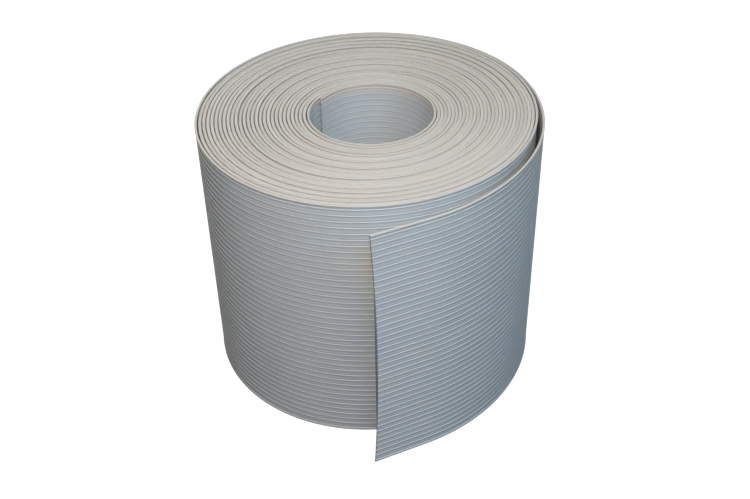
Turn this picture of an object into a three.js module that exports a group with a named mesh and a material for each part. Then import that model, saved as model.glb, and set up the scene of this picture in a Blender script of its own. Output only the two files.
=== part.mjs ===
// A roll of ribbed plastic strip, wound on itself and standing on end, with its outer end
// springing free of the coil. Millimetres, +Z up. The origin is on the coil's axis, at the floor.
//
// The strip is one continuous length. It is held here as separate stretches: one for each turn
// of the coil, and short ones where the two free ends bend. A stretch meets the next end to end,
// and the ribs fill the strip's thickness, so each stretch is a plain wall over both ribbed faces.

import * as THREE from 'three';

// The strip.
const STRIP_WIDTH = 190; // the roll's height
const STRIP_THICKNESS = 2.1; // over the ribs of both faces
const HALF_THICKNESS = STRIP_THICKNESS / 2;
const END_GAP = 0.4; // between one stretch and the next

// The coil. It is wound clockwise, seen from above, from the bore outwards.
const BORE_RADIUS = 39.6;
const BORE_OFFSET = new THREE.Vector2(3.6, -5.6); // the bore isn't quite in the middle
const TURN_PITCH = 2.618; // what each turn adds to the radius
// Neither the bore nor the coil is quite round: how far each stands out along X, and on the diagonal.
const BORE_OVAL = new THREE.Vector2(0.55, 0);
const COIL_OVAL = new THREE.Vector2(-0.5, 1.2);
const WHOLE_TURNS = 29;
const START_ANGLE = 150; // degrees from +X, where the inner end lies
const LEAVE_ANGLE = 21; // where the outer end starts to leave the coil
const ALL_TURNS = WHOLE_TURNS + (START_ANGLE - LEAVE_ANGLE) / 360;
const SHORT_WAY = 0.001; // turns, over which the coil's heading is taken
const FACETS_PER_TURN = 36; // so that a facet ends on each of the X and Y axes

// The inner end, which can be pushed into the bore.
const INNER_END_LENGTH = 42;
const INNER_END_TURNS = INNER_END_LENGTH / (2 * Math.PI * (BORE_RADIUS + HALF_THICKNESS));

// The loose outer end: two arcs of growing radius, then straight to the cut.
const LOOSE_ARCS = [
  { length: 108, radius: 134.6 },
  { length: 100, radius: 140.9 },
];
const LOOSE_STRAIGHT = 38.4;
const LOOSE_LENGTH = LOOSE_ARCS[0].length + LOOSE_ARCS[1].length + LOOSE_STRAIGHT;
const FIRST_BEND = 54; // along the loose end, to the first place where it bends
const BEND_SPACING = 42;
const BENDS = 5;
const BEND_GAP = 0.6; // wide enough for two stretches to fold to 24 degrees
const LOOSE_STEP = 8.4; // the longest facet
const CUT_BOW = 3.2; // how far the middle of the cut edge lies back from its corners

const plastic = { roughness: 0.55, metalness: 0 };
const COIL_COLOUR = 0xc3c3be;
const LOOSE_COLOUR = 0xb4bac0;

const radians = THREE.MathUtils.degToRad;

function makeMesh(name, geometry, colour) {
  const mesh = new THREE.Mesh(geometry, new THREE.MeshStandardMaterial({ color: colour, ...plastic }));
  mesh.name = name;
  return mesh;
}

// A point of the coil, after so many turns from the inner end, on the strip's outer (side 1)
// or inner (side -1) face.
function coilPoint(turns, side) {
  const angle = radians(START_ANGLE - 360 * turns);
  const share = turns / ALL_TURNS;
  const oval = BORE_OVAL.clone().lerp(COIL_OVAL, share);
  const bulge = oval.x * Math.cos(2 * angle) + oval.y * Math.sin(2 * angle);
  const radius = BORE_RADIUS + HALF_THICKNESS + TURN_PITCH * turns + bulge + side * HALF_THICKNESS;
  const centre = BORE_OFFSET.clone().multiplyScalar(1 - share);
  return centre.add(new THREE.Vector2(Math.cos(angle), Math.sin(angle)).multiplyScalar(radius));
}

// Where the middle of the strip's thickness is on the loose end, and its heading there.
function loosePlace(distance) {
  const place = coilPoint(ALL_TURNS, 0);
  let heading = place.clone().sub(coilPoint(ALL_TURNS - SHORT_WAY, 0)).angle();
  let left = distance;
  for (const arc of LOOSE_ARCS) {
    const along = Math.min(left, arc.length);
    const turned = along / arc.radius;
    const chord = 2 * arc.radius * Math.sin(turned / 2);
    const direction = heading - turned / 2;
    place.add(new THREE.Vector2(Math.cos(direction), Math.sin(direction)).multiplyScalar(chord));
    heading -= turned;
    left -= along;
  }
  place.add(new THREE.Vector2(Math.cos(heading), Math.sin(heading)).multiplyScalar(left));
  return { place, heading };
}

function loosePoint(distance, side) {
  const { place, heading } = loosePlace(distance);
  const outward = new THREE.Vector2(-Math.sin(heading), Math.cos(heading));
  return place.addScaledVector(outward, side * HALF_THICKNESS);
}

// A standing wall between two places of a path: out along its outer face, back along its inner one.
function wall(pointAt, start, end, steps) {
  const places = Array.from({ length: steps + 1 }, (_, i) => start + ((end - start) * i) / steps);
  const outline = [
    ...places.map((place) => pointAt(place, 1)),
    ...places.reverse().map((place) => pointAt(place, -1)),
  ];
  return new THREE.ExtrudeGeometry(new THREE.Shape(outline), {
    depth: STRIP_WIDTH,
    bevelEnabled: false,
  });
}

// A stretch of the coil, trimmed by half a gap at each end.
function coilStretch(name, start, end) {
  const trim = (turns) => END_GAP / 2 / (2 * Math.PI * (BORE_RADIUS + TURN_PITCH * turns));
  const steps = Math.max(2, Math.round((end - start) * FACETS_PER_TURN));
  return makeMesh(name, wall(coilPoint, start + trim(start), end - trim(end), steps), COIL_COLOUR);
}

function looseStretch(name, start, end, startGap = BEND_GAP) {
  const steps = Math.round((end - start) / LOOSE_STEP);
  return makeMesh(name, wall(loosePoint, start + startGap / 2, end - BEND_GAP / 2, steps), LOOSE_COLOUR);
}

// The flat last stretch, drawn in its own plane: x along the strip, y up its width.
function looseTip(name, start) {
  const length = LOOSE_LENGTH - start - BEND_GAP / 2;
  const outline = new THREE.Shape();
  outline.moveTo(0, 0);
  outline.lineTo(length, 0);
  outline.quadraticCurveTo(length - 2 * CUT_BOW, STRIP_WIDTH / 2, length, STRIP_WIDTH);
  outline.lineTo(0, STRIP_WIDTH);
  const geometry = new THREE.ExtrudeGeometry(outline, {
    depth: STRIP_THICKNESS,
    bevelEnabled: false,
    curveSegments: 12,
  });
  geometry.translate(0, 0, -HALF_THICKNESS);
  geometry.rotateX(Math.PI / 2);

  const { place, heading } = loosePlace(start + BEND_GAP / 2);
  const tip = makeMesh(name, geometry, LOOSE_COLOUR);
  tip.position.set(place.x, place.y, 0);
  tip.rotation.z = heading;
  return tip;
}

function coil() {
  const group = new THREE.Group();
  group.add(coilStretch('inner_end', 0, INNER_END_TURNS));
  for (let turn = 1; turn <= WHOLE_TURNS; turn += 1) {
    const start = turn === 1 ? INNER_END_TURNS : turn - 1;
    group.add(coilStretch(`turn_${String(turn).padStart(2, '0')}`, start, turn));
  }
  group.add(coilStretch('outer_wrap', WHOLE_TURNS, ALL_TURNS));
  return group;
}

function looseEnd() {
  const group = new THREE.Group();
  group.add(looseStretch('loose_end_base', 0, FIRST_BEND, END_GAP));
  for (let bend = 1; bend < BENDS; bend += 1) {
    const start = FIRST_BEND + (bend - 1) * BEND_SPACING;
    group.add(looseStretch(`loose_end_${bend}`, start, start + BEND_SPACING));
  }
  group.add(looseTip('loose_end_tip', FIRST_BEND + (BENDS - 1) * BEND_SPACING));
  return group;
}

const stripRoll = new THREE.Group();
stripRoll.add(coil(), looseEnd());

export default stripRoll;
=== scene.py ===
# %% [markdown]
# # A roll of ribbed plastic strip
# The object is one long strip of extruded plastic, wound on itself with no core and stood on its end.
# The outer end springs free of the coil. This script builds the strip as it is made in life: one
# cross-section, run out flat to its length, then wound along a spiral. The CAD model already holds
# each turn as a plain wall, and says which stretches move together.

# %% Load the frame
import math

import bmesh
import bpy
import numpy as np
from mathutils import Matrix, Vector


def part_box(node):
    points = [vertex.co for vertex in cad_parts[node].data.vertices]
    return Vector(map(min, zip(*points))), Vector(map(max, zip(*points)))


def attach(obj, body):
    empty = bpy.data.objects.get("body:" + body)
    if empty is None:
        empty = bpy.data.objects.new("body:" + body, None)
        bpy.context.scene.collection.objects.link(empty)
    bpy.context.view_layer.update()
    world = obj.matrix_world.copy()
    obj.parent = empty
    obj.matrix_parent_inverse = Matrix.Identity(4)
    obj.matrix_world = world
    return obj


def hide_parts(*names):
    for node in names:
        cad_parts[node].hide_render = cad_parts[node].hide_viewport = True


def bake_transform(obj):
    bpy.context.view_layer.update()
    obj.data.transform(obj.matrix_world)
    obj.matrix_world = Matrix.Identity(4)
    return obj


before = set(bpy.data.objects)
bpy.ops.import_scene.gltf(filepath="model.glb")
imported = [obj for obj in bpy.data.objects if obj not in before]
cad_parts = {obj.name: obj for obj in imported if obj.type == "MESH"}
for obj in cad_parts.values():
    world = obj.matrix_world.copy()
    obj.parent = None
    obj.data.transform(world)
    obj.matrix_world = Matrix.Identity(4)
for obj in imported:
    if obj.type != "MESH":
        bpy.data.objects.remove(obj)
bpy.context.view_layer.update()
bpy.ops.object.select_all(action="DESELECT")
MM = 0.001

# %% [markdown]
# ## The strip's sizes
# The width is read from the frame. The coil's spiral has the same driving sizes as the CAD model, so
# every turn here lies on its CAD wall. The strip is as thick over its ribs as that wall, and only the
# pressed edges stand past it, by a twentieth of a millimetre. A turn adds half a millimetre more to
# the radius than the ribs fill, so the turns stay clear of each other. Neither the bore nor the coil
# is quite round: each oval says how far the shape stands out along X, and on the diagonal.

# %% Sizes
STRIP_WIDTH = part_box("turn_29")[1].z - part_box("turn_29")[0].z
WEB = 1.1 * MM
RIBS = 42
RIB_PITCH = STRIP_WIDTH / RIBS
RIB_WIDTH = 1.5 * MM
RIB_HEIGHT = 0.5 * MM
HOLLOW = 0.21 * MM
EDGE_HEIGHT = 1.4 * MM
EDGE_SWELL, PRESSED_SWELL = 0.24 * MM, 0.55 * MM
EDGE_SHOULDER = 0.9 * MM
EDGE_CHAMFER = 0.14 * MM

CAD_WALL = 2.1 * MM
BORE_RADIUS = 39.6 * MM
BORE_OFFSET = Vector((3.6, -5.6)) * MM
BORE_OVAL = Vector((0.55, 0)) * MM
COIL_OVAL = Vector((-0.5, 1.2)) * MM
TURN_PITCH = 2.618 * MM
START_ANGLE, LEAVE_ANGLE = 150, 21
ALL_TURNS = 29 + (START_ANGLE - LEAVE_ANGLE) / 360
LOOSE_ARCS = ((108 * MM, 134.6 * MM), (100 * MM, 140.9 * MM))
LOOSE_LENGTH = 246.4 * MM
CUT_BOW = 3.2 * MM
FIRST_BEND, BEND_SPACING = 54 * MM, 42 * MM
print(f"strip {STRIP_WIDTH / MM:.0f} mm wide, rib pitch {RIB_PITCH / MM:.2f} mm")

# %% [markdown]
# ## The camera
# It looks down on the roll from in front, from a little beyond arm's length, and is tipped
# slightly to one side, as a hand-held camera is. It is made first, so that each later step can be
# looked at as soon as it runs.

# %% Camera
CAMERA_TARGET = Vector((3.1, 0, 70)) * MM
CAMERA_DISTANCE = 795.4 * MM
CAMERA_AZIMUTH = math.radians(-0.31)
CAMERA_ELEVATION = math.radians(37.05)
CAMERA_ROLL = math.radians(-1.29)


def direction_to(azimuth, elevation):
    """The unit vector towards an azimuth, 0 in front and 90 degrees to the right, and a height."""
    level = math.cos(elevation)
    return Vector((math.sin(azimuth) * level, -math.cos(azimuth) * level, math.sin(elevation)))


back = direction_to(CAMERA_AZIMUTH, CAMERA_ELEVATION)
bpy.ops.object.camera_add(location=CAMERA_TARGET + CAMERA_DISTANCE * back)
camera = bpy.context.object
aim = back.to_track_quat("Z", "Y").to_matrix()
camera.rotation_euler = (aim @ Matrix.Rotation(CAMERA_ROLL, 3, "Z")).to_euler()
camera.data.lens = 51
camera.data.sensor_width = 36
camera.data.clip_start = 0.01
bpy.context.scene.camera = camera
print(f"the camera is {CAMERA_DISTANCE:.2f} m away, with a {camera.data.lens:.0f} mm lens")

# %% [markdown]
# ## Picking by place
# Blender's mesh operators act on what is selected, and a script has no mouse. One helper goes into
# edit mode and selects the vertices, edges or faces whose middle passes a test, so each modelling
# step can say in words what it works on.

# %% Helpers for edit mode
NEAR = 0.01 * MM
MERGE_DISTANCE = NEAR / 10


def middle(element):
    """Where a vertex is, or the middle of an edge or a face."""
    if isinstance(element, bmesh.types.BMVert):
        return element.co
    return sum((v.co for v in element.verts), Vector()) / len(element.verts)


def pick(kind, test):
    """In edit mode, selects the active mesh's VERT, EDGE or FACE elements that pass the test."""
    bpy.ops.mesh.select_mode(type=kind)
    bpy.ops.mesh.select_all(action="DESELECT")
    mesh = bmesh.from_edit_mesh(bpy.context.object.data)
    chosen = [e for e in {"VERT": mesh.verts, "EDGE": mesh.edges, "FACE": mesh.faces}[kind] if test(e)]
    for element in chosen:
        element.select_set(True)
    mesh.select_flush_mode()
    bmesh.update_edit_mesh(bpy.context.object.data)
    return len(chosen)


def choose(piece):
    """Makes this the only selected object, and the active one."""
    bpy.ops.object.select_all(action="DESELECT")
    piece.select_set(True)
    bpy.context.view_layer.objects.active = piece


def modify(piece, kind, **settings):
    """Adds a modifier with these settings and applies it."""
    choose(piece)
    modifier = piece.modifiers.new(kind.title(), kind)
    for name, value in settings.items():
        setattr(modifier, name, value)
    bpy.ops.object.modifier_apply(modifier=modifier.name)


def edge_out(y, z):
    """Extrudes the selected edges by this much."""
    bpy.ops.mesh.extrude_edges_move(TRANSFORM_OT_translate={"value": (0, y, z)})


# %% [markdown]
# ## One slice of the strip
# The die that extrudes such a strip gives it a thin web, small half-round ribs on both faces and a
# slightly thicker edge, and the wall sinks a little between two ribs as it cools. All of it is
# symmetrical, so only a quarter of the section is modelled: the wall between two ribs, a rib spun
# from its edge, an array of those up to the strip's edge, and two mirrors. The ribs could be a bump
# in the material, but they catch the light along their upper side and shade their lower one, and show
# in the outline, so they are real. There are two slices: a fine one for the turns that are seen face
# on, and a plainer one for those between, whose edges the weight of the roll has pressed thicker.

# %% A wall and a rib
SLICE_LENGTH = 1 * MM
WALL_HEIGHT = RIB_PITCH - RIB_WIDTH


def wall_and_rib(name, rib_steps, wall_cuts):
    """The outer face of the middle wall and of the rib above it, one SLICE_LENGTH along X."""
    bpy.ops.mesh.primitive_plane_add(
        size=1, location=(SLICE_LENGTH / 2, WEB / 2, 0), rotation=(-math.pi / 2, 0, 0)
    )
    piece = bpy.context.object
    piece.name = name
    piece.scale = (SLICE_LENGTH, WALL_HEIGHT, 1)
    bpy.ops.object.transform_apply(location=True, rotation=True, scale=True)

    bpy.ops.object.mode_set(mode="EDIT")
    if wall_cuts:
        pick("EDGE", lambda e: abs(middle(e).z) < NEAR)
        bpy.ops.mesh.subdivide(number_cuts=wall_cuts)
        for vertex in bmesh.from_edit_mesh(piece.data).verts:
            vertex.co.y -= HOLLOW * (1 - (2 * vertex.co.z / WALL_HEIGHT) ** 2)
    pick("EDGE", lambda e: middle(e).z > WALL_HEIGHT / 2 - NEAR)
    bpy.ops.mesh.spin(
        steps=rib_steps, angle=math.pi, center=(0, WEB / 2, WALL_HEIGHT / 2 + RIB_WIDTH / 2),
        axis=(1, 0, 0),
    )
    pick("VERT", lambda v: v.co.y > WEB / 2 + NEAR)
    bpy.ops.transform.resize(
        value=(1, RIB_HEIGHT / (RIB_WIDTH / 2), 1), center_override=(0, WEB / 2, 0)
    )
    bpy.ops.object.mode_set(mode="OBJECT")
    return piece


# %% From the rib to the whole section


def strip_slice(name, rib_steps, wall_cuts, edge_swell):
    """A slice of strip as an open tube, its middle at the origin, one SLICE_LENGTH along X."""
    piece = wall_and_rib(name, rib_steps, wall_cuts)
    modify(
        piece, "ARRAY", count=RIBS // 2, use_relative_offset=False, use_constant_offset=True,
        constant_offset_displace=(0, 0, RIB_PITCH), use_merge_vertices=True,
        merge_threshold=MERGE_DISTANCE,
    )
    bpy.ops.object.mode_set(mode="EDIT")
    bpy.ops.mesh.select_all(action="SELECT")
    bpy.ops.mesh.bisect(plane_co=(0, 0, 0), plane_no=(0, 0, 1), clear_inner=True)
    top = (RIBS // 2) * RIB_PITCH - WALL_HEIGHT / 2
    pick("EDGE", lambda e: middle(e).z > top - NEAR)
    edge_out(0, STRIP_WIDTH / 2 - EDGE_HEIGHT - top)
    edge_out(edge_swell, EDGE_SHOULDER)
    edge_out(0, EDGE_HEIGHT - EDGE_SHOULDER - EDGE_CHAMFER)
    edge_out(-EDGE_CHAMFER, EDGE_CHAMFER)
    bpy.ops.object.mode_set(mode="OBJECT")

    modify(
        piece, "MIRROR", use_axis=(False, True, True), use_mirror_merge=True,
        merge_threshold=MERGE_DISTANCE,
    )
    bpy.ops.object.mode_set(mode="EDIT")
    for side in (1, -1):
        pick("EDGE", lambda e: side * middle(e).z > STRIP_WIDTH / 2 - NEAR)
        bpy.ops.mesh.edge_face_add()
    bpy.ops.mesh.select_all(action="SELECT")
    bpy.ops.mesh.normals_make_consistent(inside=False)
    bpy.ops.object.mode_set(mode="OBJECT")
    print(f"{name}: {len(piece.data.polygons)} faces round the section")
    return piece


fine_slice = strip_slice("fine_slice", rib_steps=6, wall_cuts=3, edge_swell=EDGE_SWELL)
plain_slice = strip_slice("plain_slice", rib_steps=3, wall_cuts=0, edge_swell=PRESSED_SWELL)

# %% [markdown]
# ## The strip's route
# Seen from above the strip runs clockwise: a spiral that gains one pitch each turn, then two gentler
# arcs and a straight where it springs away from the coil. The bore isn't quite in the middle, so the
# spiral's centre drifts home as it winds outwards. The route is worked out once, with the distance
# along the strip at each point, and everything after this speaks of places by that distance.

# %% Work out the route
ROUTE_STEP = 1 / 180
SHORT_WAY = 0.001
TURNS_BEFORE = 0.04
LOOSE_STEP = 1.5 * MM
SPARE = 10 * MM


def coil_place(turns):
    """The middle of the strip's thickness on the coil, after so many turns from the inner end."""
    angle = math.radians(START_ANGLE - 360 * turns)
    share = turns / ALL_TURNS
    bulge = BORE_OVAL.lerp(COIL_OVAL, share).dot((math.cos(2 * angle), math.sin(2 * angle)))
    radius = BORE_RADIUS + CAD_WALL / 2 + TURN_PITCH * turns + bulge
    centre = BORE_OFFSET * (1 - share)
    return centre + radius * Vector((math.cos(angle), math.sin(angle)))


def loose_place(distance):
    """The same on the loose end, so far from where it leaves the coil."""
    place = coil_place(ALL_TURNS)
    last_step = place - coil_place(ALL_TURNS - SHORT_WAY)
    heading = math.atan2(last_step.y, last_step.x)
    left = distance
    for length, radius in LOOSE_ARCS:
        along = min(left, length)
        turned = along / radius
        direction = heading - turned / 2
        chord = 2 * radius * math.sin(turned / 2)
        place = place + chord * Vector((math.cos(direction), math.sin(direction)))
        heading -= turned
        left -= along
    return place + left * Vector((math.cos(heading), math.sin(heading)))


route_turns = [*np.arange(-TURNS_BEFORE, ALL_TURNS, ROUTE_STEP).tolist(), ALL_TURNS]
route_loose = np.arange(LOOSE_STEP, LOOSE_LENGTH + SPARE, LOOSE_STEP).tolist()
route = np.array([coil_place(t) for t in route_turns] + [loose_place(d) for d in route_loose])
steps = np.linalg.norm(np.diff(route, axis=0), axis=1)
distances = np.append(0, np.cumsum(steps))
distances -= np.interp(0, route_turns, distances[: len(route_turns)])


def at_turn(turns):
    """The distance along the strip after so many turns from its inner end."""
    return float(np.interp(turns, route_turns, distances[: len(route_turns)]))


COIL_LENGTH = at_turn(ALL_TURNS)
STRIP_LENGTH = COIL_LENGTH + LOOSE_LENGTH


def at_loose(distance):
    """The distance along the strip so far from where the loose end leaves the coil."""
    return COIL_LENGTH + distance


def place_at(distance):
    """The point of the route at this distance, at half the strip's height."""
    return Vector((*(np.interp(distance, distances, route[:, k]) for k in (0, 1)), STRIP_WIDTH / 2))


print(f"the strip is {STRIP_LENGTH:.2f} m long, {COIL_LENGTH:.2f} m of it wound")

# %% [markdown]
# ## Run it out flat, then wind it
# A slice is copied, stretched to one chord, arrayed to the length of a stretch and capped. Each vertex
# then notes its place on the flat strip, which the material follows later. Last, a Curve modifier
# winds it along its part of the route. The curve starts a little before the stretch and ends a
# little after it, so that neighbouring stretches meet exactly, with the same slope. A wound strip
# also creeps up and down a little on its way, which keeps the top of the coil from being dead flat.

# %% Flat strip and winding
PLACE_NAME = "strip_place"
CREEP = 0.7 * MM
LONG_CREEP, SHORT_CREEP = 1.27, 0.43
SMOOTH_ANGLE = math.radians(52)


def flat_strip(name, slice_piece, start, end, chords):
    """A flat capped strip along X, from SPARE, as long as from start to end."""
    length = end - start
    piece = slice_piece.copy()
    piece.data = slice_piece.data.copy()
    bpy.context.collection.objects.link(piece)
    piece.name = piece.data.name = name
    piece.scale.x = length / chords / SLICE_LENGTH
    piece.location = (SPARE, 0, STRIP_WIDTH / 2)
    choose(piece)
    bpy.ops.object.transform_apply(location=True, rotation=True, scale=True)
    modify(
        piece, "ARRAY", count=chords, use_relative_offset=False, use_constant_offset=True,
        constant_offset_displace=(length / chords, 0, 0), use_merge_vertices=True,
        merge_threshold=MERGE_DISTANCE,
    )
    bpy.ops.object.mode_set(mode="EDIT")
    for x in (SPARE, SPARE + length):
        pick("EDGE", lambda e: e.is_boundary and abs(middle(e).x - x) < NEAR)
        bpy.ops.mesh.edge_face_add()
        bpy.ops.mesh.quads_convert_to_tris(quad_method="BEAUTY", ngon_method="BEAUTY")
    bpy.ops.object.mode_set(mode="OBJECT")
    return piece


def note_places(piece, start):
    """Stores each vertex's place on the flat strip: along it, through it and across it."""
    flat = np.array([v.co for v in piece.data.vertices])
    flat[:, 0] += start - SPARE
    attribute = piece.data.attributes.new(PLACE_NAME, "FLOAT_VECTOR", "POINT")
    attribute.data.foreach_set("vector", flat.astype(np.float32).ravel())


def route_curve(start, end):
    """The route as a curve, from SPARE before this start to SPARE after this end."""
    inside = (distances > start - SPARE + NEAR) & (distances < end + SPARE - NEAR)
    ends = (place_at(start - SPARE), place_at(end + SPARE))
    points = [ends[0].xy, *route[inside], ends[1].xy]
    curve = bpy.data.curves.new("route", "CURVE")
    curve.dimensions = "2D"
    spline = curve.splines.new("POLY")
    spline.points.add(len(points) - 1)
    for point, place in zip(spline.points, points):
        point.co = (*place, 0, 1)
    guide = bpy.data.objects.new("route", curve)
    bpy.context.collection.objects.link(guide)
    return guide


def rise(along):
    """How far the strip has crept up where it is so far along: no two turns lie quite level."""
    slow = np.sin(2 * math.pi * along / LONG_CREEP + 1)
    quick = np.sin(2 * math.pi * along / SHORT_CREEP)
    return CREEP * (1 + 0.6 * slow + 0.4 * quick) / 2


def wind(piece, start, end):
    """Winds a flat strip along its part of the route."""
    along = np.array([v.co.x for v in piece.data.vertices]) + start - SPARE
    guide = route_curve(start, end)
    modify(piece, "CURVE", object=guide, deform_axis="POS_X")
    bpy.data.curves.remove(guide.data)
    wound = np.array([v.co for v in piece.data.vertices])
    wound[:, 2] += rise(along)
    piece.data.vertices.foreach_set("co", wound.astype(np.float32).ravel())
    piece.data.update()
    choose(piece)
    bpy.ops.object.shade_smooth_by_angle(angle=SMOOTH_ANGLE)


def stretch(name, slice_piece, start, end, chords):
    """One wound stretch of strip, in so many straight chords."""
    piece = flat_strip(name, slice_piece, start, end, chords)
    note_places(piece, start)
    wind(piece, start, end)
    print(f"{name}: {end - start:.3f} m, {len(piece.data.polygons)} faces")
    return piece


# %% [markdown]
# ## The coil
# The turns move in groups when the coil telescopes: each group is one CAD body. A group's turns are
# one stretch, but its first half turn is a stretch of its own. That stretch lies between the group
# inside it and its own group, and is fixed in place with neither. Only the innermost and outermost
# turns are seen face on, and they get the finer ribs.

# %% Wind the coil
CHORDS_PER_TURN = 60
INNER_END_TURNS = 0.25
INNER_END_CHORDS, BORE_CHORDS = 24, 66
OUTER_CHORD = 5.5 * MM
GROUPS = (
    ("coil_core", 1, 4),
    ("coil_2", 4, 9),
    ("coil_3", 9, 14),
    ("coil_4", 14, 19),
    ("coil_5", 19, 24),
    ("coil_outer", 24, 29),
)
LAST_FINE_TURN = 28.25


def turn_nodes(first, last):
    return [f"turn_{turn:02d}" for turn in range(first + 1, last + 1)]


pieces = []
piece = stretch("inner_end_strip", fine_slice, 0, at_turn(INNER_END_TURNS), INNER_END_CHORDS)
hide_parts("inner_end")
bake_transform(piece)
pieces.append(piece)

piece = stretch("bore_turn", fine_slice, at_turn(INNER_END_TURNS), at_turn(1), BORE_CHORDS)
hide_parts("turn_01")
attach(piece, "coil_core")
pieces.append(piece)

inside = None
for body, first, last in GROUPS:
    start = first
    if inside:
        start = first + 0.5
        name = f"{body}_climb"
        piece = stretch(name, plain_slice, at_turn(first), at_turn(start), CHORDS_PER_TURN // 2)
        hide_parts(f"turn_{first + 1:02d}")
        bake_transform(piece)
        pieces.append(piece)
    end = LAST_FINE_TURN if body == "coil_outer" else last
    chords = round((end - start) * CHORDS_PER_TURN)
    piece = stretch(f"{body}_turns", plain_slice, at_turn(start), at_turn(end), chords)
    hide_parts(*turn_nodes(first, last))
    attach(piece, body)
    pieces.append(piece)
    inside = body

# %% [markdown]
# ## The outer turn and the loose end
# The last turn runs on into the loose end without a seam. The loose end bends at five places in the
# CAD model. Each bend gets a stretch that reaches from half way before it to half way after it, fixed
# in place and attached to no body.

# %% Wind the outer turn and the loose end
first_loose = FIRST_BEND - BEND_SPACING / 2
outer_start, outer_end = at_turn(LAST_FINE_TURN), at_loose(first_loose)
outer_chords = round((outer_end - outer_start) / OUTER_CHORD)
piece = stretch("outer_turn", fine_slice, outer_start, outer_end, outer_chords)
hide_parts("turn_29", "outer_wrap", "loose_end_base")
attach(piece, "coil_outer")
pieces.append(piece)

LOOSE_NODES = ("loose_end_1", "loose_end_2", "loose_end_3", "loose_end_4", "loose_end_tip")
LOOSE_CHORDS = 16


def hollow_end(piece, length):
    """Pulls the flat strip's far end back between its corners, as the cutter left it."""
    for vertex in piece.data.vertices:
        share = (vertex.co.x - SPARE) / length
        across = vertex.co.z / (STRIP_WIDTH / 2) - 1
        vertex.co.x -= CUT_BOW * (1 - across**2) * share


for bend, node in enumerate(LOOSE_NODES):
    start = at_loose(first_loose + bend * BEND_SPACING)
    is_last = node == LOOSE_NODES[-1]
    end = STRIP_LENGTH if is_last else start + BEND_SPACING
    piece = flat_strip(f"{node}_strip", fine_slice, start, end, LOOSE_CHORDS)
    if is_last:
        hollow_end(piece, end - start)
    note_places(piece, start)
    wind(piece, start, end)
    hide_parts(node)
    place_at(start + BEND_SPACING)
    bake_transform(piece)
    pieces.append(piece)

for spare in (fine_slice, plain_slice):
    bpy.data.meshes.remove(spare.data)
print(f"{len(pieces)} pieces, {sum(len(p.data.polygons) for p in pieces)} faces")

# %% [markdown]
# ## Shader maths in Python
# A material is a graph of nodes. Drawn by hand the maths in it sprawls, so one small class wraps a
# socket: an expression on values adds its Math nodes, and one method adds any other node.

# %% A wrapped socket


class Wire:
    """One output socket of a node, or, before there is one, the tree that nodes are added to."""

    def __init__(self, tree, socket=None):
        self.tree = tree
        self.socket = socket

    def node(self, kind, inputs, output=0, **settings):
        """Adds a node: its settings first, then a value or a wire for each input."""
        made = self.tree.nodes.new(kind)
        for name, value in settings.items():
            setattr(made, name, value)
        for name, value in inputs.items():
            if isinstance(value, Wire):
                self.tree.links.new(value.socket, made.inputs[name])
            else:
                made.inputs[name].default_value = value
        return Wire(self.tree, made.outputs[output])

    def into(self, shader, name):
        """Feeds this wire to a shader's socket."""
        self.tree.links.new(self.socket, shader.inputs[name])

    def math(self, operation, *values):
        return self.node("ShaderNodeMath", dict(enumerate(values)), operation=operation)

    def __add__(self, other):
        return self.math("ADD", self, other)

    def __sub__(self, other):
        return self.math("SUBTRACT", self, other)

    def __rsub__(self, other):
        return self.math("SUBTRACT", other, self)

    def __mul__(self, other):
        return self.math("MULTIPLY", self, other)

    __radd__ = __add__
    __rmul__ = __mul__

    def __abs__(self):
        return self.math("ABSOLUTE", self)

    def part(self, axis):
        """One of a vector's three numbers."""
        return self.node("ShaderNodeSeparateXYZ", {0: self}, output=axis)

    def fade(self, low, high):
        """0 up to low, 1 from high on, and smooth between."""
        values = {"Value": self, "From Min": low, "From Max": high}
        return self.node("ShaderNodeMapRange", values, interpolation_type="SMOOTHSTEP")

    def mix(self, first, second):
        """A colour between two, with this wire as the share of the second."""
        values = {"Factor": self, 6: first, 7: second}
        return self.node("ShaderNodeMix", values, output=2, data_type="RGBA")

    def noise(self, stretch, detail=2.0, roughness=0.5):
        """Noise on this vector, with so many blotches to the metre along each of its axes."""
        scaled = self.node("ShaderNodeVectorMath", {0: self, 1: stretch}, operation="MULTIPLY")
        values = {"Vector": scaled, "Scale": 1.0, "Detail": detail, "Roughness": roughness}
        return self.node("ShaderNodeTexNoise", values, output="Fac")


# %% [markdown]
# ## The plastic
# It is a light grey polyethylene, pale and a little waxy. The die draws faint lines along it, and the
# grey drifts slowly from one end of the strip to the other, so that neighbouring turns differ. Both
# edges are painted warmer and paler: painted warm light that stands in for light from above on the top
# edges. The inner turns are also painted warmer and paler near their edges, which is painted warm
# light in the gaps between the turns. The cut end is painted dark, which is painted shade along its
# edge. All of it follows the strip, so the material reads the place on the flat strip that every
# vertex noted before it was wound: how far along it, through it and across it.
# First come the patterns: noise, stretched along the strip where the real mark runs along it.

# %% Patterns along the strip
plastic = bpy.data.materials.new("pale_polyethylene")
plastic.use_nodes = True
nodes = Wire(plastic.node_tree)
place = nodes.node("ShaderNodeAttribute", {}, output="Vector", attribute_name=PLACE_NAME)
through = place.part("Y")
across = place.part("Z")
along = place.part("X")

drift = place.noise((2.3, 0, 0), detail=3.0, roughness=0.6)
cloud = place.noise((28, 60, 34), detail=3.0, roughness=0.6)
die_lines = place.noise((3, 900, 1700), detail=3.0, roughness=0.65)
grain = place.noise((1400, 1400, 1400), detail=2.0)
scuffs = place.noise((90, 0, 1500), detail=2.0, roughness=0.7)

# %% [markdown]
# Next come the masks, which say where on the strip something is. The cut edges get painted warm light.
# The crests of the ribs carry the scuffs on them. The edges of the inner turns, in the gaps between
# them, get painted warm light. The cut end, whose middle lies back from its corners, gets painted
# shade.

# %% Masks
# The band along both edges where warm light is painted into the colour.
WARM_LIGHT_EDGE_START, WARM_LIGHT_EDGE_FULL = 1.3 * MM, 0.2 * MM
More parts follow.
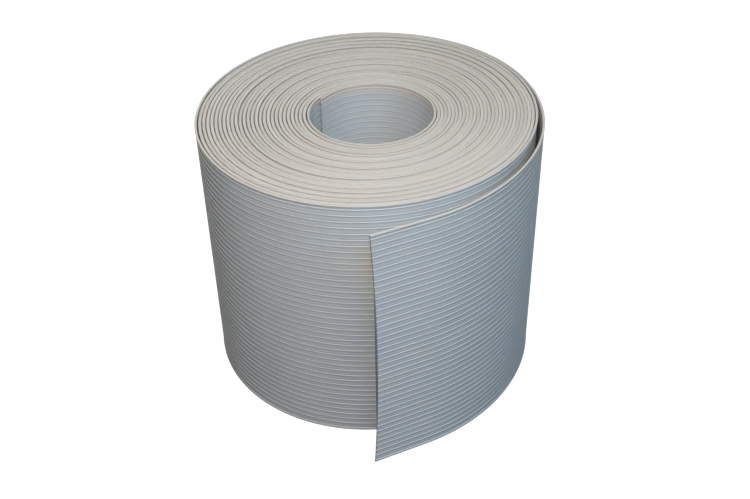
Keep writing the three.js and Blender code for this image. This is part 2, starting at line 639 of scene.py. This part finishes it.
# Painted warm light in the gaps between the turns: the inner turns' faces are painted warmer and paler
# near their edges.
WARM_GAP_START, WARM_GAP_FULL = 9 * MM, 1 * MM
# Painted shade along the cut end, where a thin dark line of shadow falls.
CUT_SHADE_FULL, CUT_SHADE_START = 0.1 * MM, 0.5 * MM
LAST_WARM_GAP_TURN = 28

half_width = STRIP_WIDTH / 2
from_middle = abs(across - half_width)
# This edge mask carries the painted warm light on the edges, and their roughness.
edge = from_middle.fade(half_width - WARM_LIGHT_EDGE_START, half_width - WARM_LIGHT_EDGE_FULL)
crest = abs(through).fade(WEB / 2 + 0.5 * RIB_HEIGHT, WEB / 2 + 0.95 * RIB_HEIGHT)
scuffed = scuffs.fade(0.6, 0.74) * crest

between_turns = 1 - along.fade(at_turn(LAST_WARM_GAP_TURN), at_turn(LAST_WARM_GAP_TURN + 0.1))
near_edge = from_middle.fade(half_width - WARM_GAP_START, half_width - WARM_GAP_FULL)
# Painted warm light, which lightens and warms the gaps between the turns.
painted_gap_light = 0.8 * near_edge * between_turns

# The cut end is painted dark: painted shade along the cut edge.
from_centre = across * (1 / half_width) - 1
to_cut = STRIP_LENGTH - CUT_BOW * (1 - from_centre * from_centre) - along
painted_cut_shade = 0.75 * (1 - to_cut.fade(CUT_SHADE_FULL, CUT_SHADE_START))

# %% [markdown]
# Last the patterns and the masks are mixed into colour, gloss and relief. Each pattern swings evenly
# about a half, so its weight says how much it may lighten or darken.

# %% Mix the plastic
FACE_DARK, FACE_LIGHT = (0.425, 0.447, 0.458, 1), (0.545, 0.57, 0.58, 1)
# Painted warm light: the warmer, paler grey of the edges.
PAINTED_WARM_EDGE_DARK, PAINTED_WARM_EDGE_LIGHT = (0.475, 0.447, 0.418, 1), (0.63, 0.6, 0.567, 1)
# Painted warm light for the gaps between the turns.
PAINTED_GAP_LIGHT_COLOUR = (0.62, 0.54, 0.47, 1)
# Painted shade for the cut end.
CUT_SHADE_COLOUR = (0.09, 0.095, 0.1, 1)
RELIEF_HEIGHT = 0.03 * MM

tone = 0.5 + 1.6 * (drift - 0.5) + 0.5 * (cloud - 0.5) + 0.5 * (die_lines - 0.5) + 0.35 * (grain - 0.5)
tone = tone + 0.35 * scuffed
# The inner turns take the painted warm light near their edges.
face_colour = painted_gap_light.mix(tone.mix(FACE_DARK, FACE_LIGHT), PAINTED_GAP_LIGHT_COLOUR)
# Painted warm light on both edges.
colour = edge.mix(face_colour, tone.mix(PAINTED_WARM_EDGE_DARK, PAINTED_WARM_EDGE_LIGHT))
# Painted shade on the cut end.
colour = painted_cut_shade.mix(colour, CUT_SHADE_COLOUR)
gloss = 0.4 + 0.14 * (cloud - 0.5) + 0.1 * (die_lines - 0.5) + 0.1 * edge + 0.12 * scuffed
relief = 0.5 * die_lines + 0.12 * grain + 0.5 * cloud - 0.3 * scuffed
bump = nodes.node("ShaderNodeBump", {"Height": relief, "Distance": RELIEF_HEIGHT, "Strength": 1.0})

surface = plastic.node_tree.nodes["Principled BSDF"]
colour.into(surface, "Base Color")
gloss.into(surface, "Roughness")
bump.into(surface, "Normal")
surface.inputs["IOR"].default_value = 1.5
for piece in pieces:
    piece.data.materials.clear()
    piece.data.materials.append(plastic)
print(f"{plastic.name}: {len(plastic.node_tree.nodes)} nodes on {len(pieces)} pieces")

# %% [markdown]
# ## Floor and backdrop
# The roll stands on a plain white floor. A lit floor bright enough to look white would light the
# ribs from below and flatten them, so this one glows for the camera, and the roll doesn't see it.
# The world does the same: white where the camera looks past the floor, and dim for the roll.

# %% Floor and backdrop
FLOOR_DROP = 0.1 * MM
FLOOR_SIZE = 12
DIM, BRIGHT = 0.05, 0.99

bpy.ops.mesh.primitive_plane_add(size=FLOOR_SIZE, location=(0, 0, -FLOOR_DROP))
floor = bpy.context.object
floor.name = "floor"
floor.visible_diffuse = False
floor.visible_glossy = False
pale = bpy.data.materials.new("pale_floor")
pale.use_nodes = True
paint = pale.node_tree.nodes["Principled BSDF"]
paint.inputs["Base Color"].default_value = (0.3, 0.3, 0.3, 1)
paint.inputs["Roughness"].default_value = 0.9
paint.inputs["Specular IOR Level"].default_value = 0.2
paint.inputs["Emission Color"].default_value = (1, 1, 1, 1)
paint.inputs["Emission Strength"].default_value = 0.95
floor.data.materials.append(pale)

world = bpy.data.worlds.new("studio")
bpy.context.scene.world = world
world.use_nodes = True
backdrop = Wire(world.node_tree)
looking = backdrop.node("ShaderNodeLightPath", {}, output="Is Camera Ray")
sky = world.node_tree.nodes["Background"].inputs
sky["Color"].default_value = (1, 1, 1, 1)
world.node_tree.links.new((DIM + (BRIGHT - DIM) * looking).socket, sky["Strength"])
bpy.context.scene.view_settings.view_transform = "Standard"
print(f"a floor {FLOOR_SIZE} m across, {FLOOR_DROP / MM:.1f} mm below the roll")

# %% [markdown]
# ## Lamps
# The key lamp stands beside the camera, so the shadows fall behind the roll. Above all it shows the
# ribs: each one is bright where it faces up towards the lamp and dark underneath. A warm lamp higher
# up warms the cut edges, cool ones in front and to the right tint the faces, and one behind draws a
# sheen across the top. Two low lamps light the back, and barely touch what the camera sees. Lamps
# are hidden from the camera, so that none shows when it goes round to the other side.

# %% Lamps
LAMP_AIM = Vector((0, 0, 0.12))


def lamp(name, azimuth, elevation, distance, size, power):
    """A round soft lamp that looks at the roll; power is its watts in red, green and blue."""
    away = direction_to(math.radians(azimuth), math.radians(elevation))
    bpy.ops.object.light_add(type="AREA", location=LAMP_AIM + distance * away)
    light = bpy.context.object
    light.name = name
    light.rotation_euler = away.to_track_quat("Z", "Y").to_euler()
    light.data.shape = "DISK"
    light.data.size = size
    light.data.energy = max(power)
    light.data.color = [watts / max(power) for watts in power]
    light.visible_camera = False


lamp("key", -8, 45, 0.95, 0.25, (6, 5.5, 5))
lamp("cool_front", 10, 45, 0.95, 0.25, (0.3, 1, 2.2))
lamp("warm_top", 25, 60, 0.95, 0.25, (2.3, 1.6, 0.3))
lamp("cool_side", 50, 38, 1.5, 0.6, (1, 3, 5))
lamp("back", 180, 20, 1.5, 0.6, (2.5, 2.8, 2.8))
lamp("low_back_left", -155, 12, 1.5, 0.6, (4.6, 4.8, 5))
lamp("low_back_right", 140, 12, 1.5, 0.6, (4.6, 4.8, 5))
print("lamps:", ", ".join(light.name for light in bpy.data.lights))
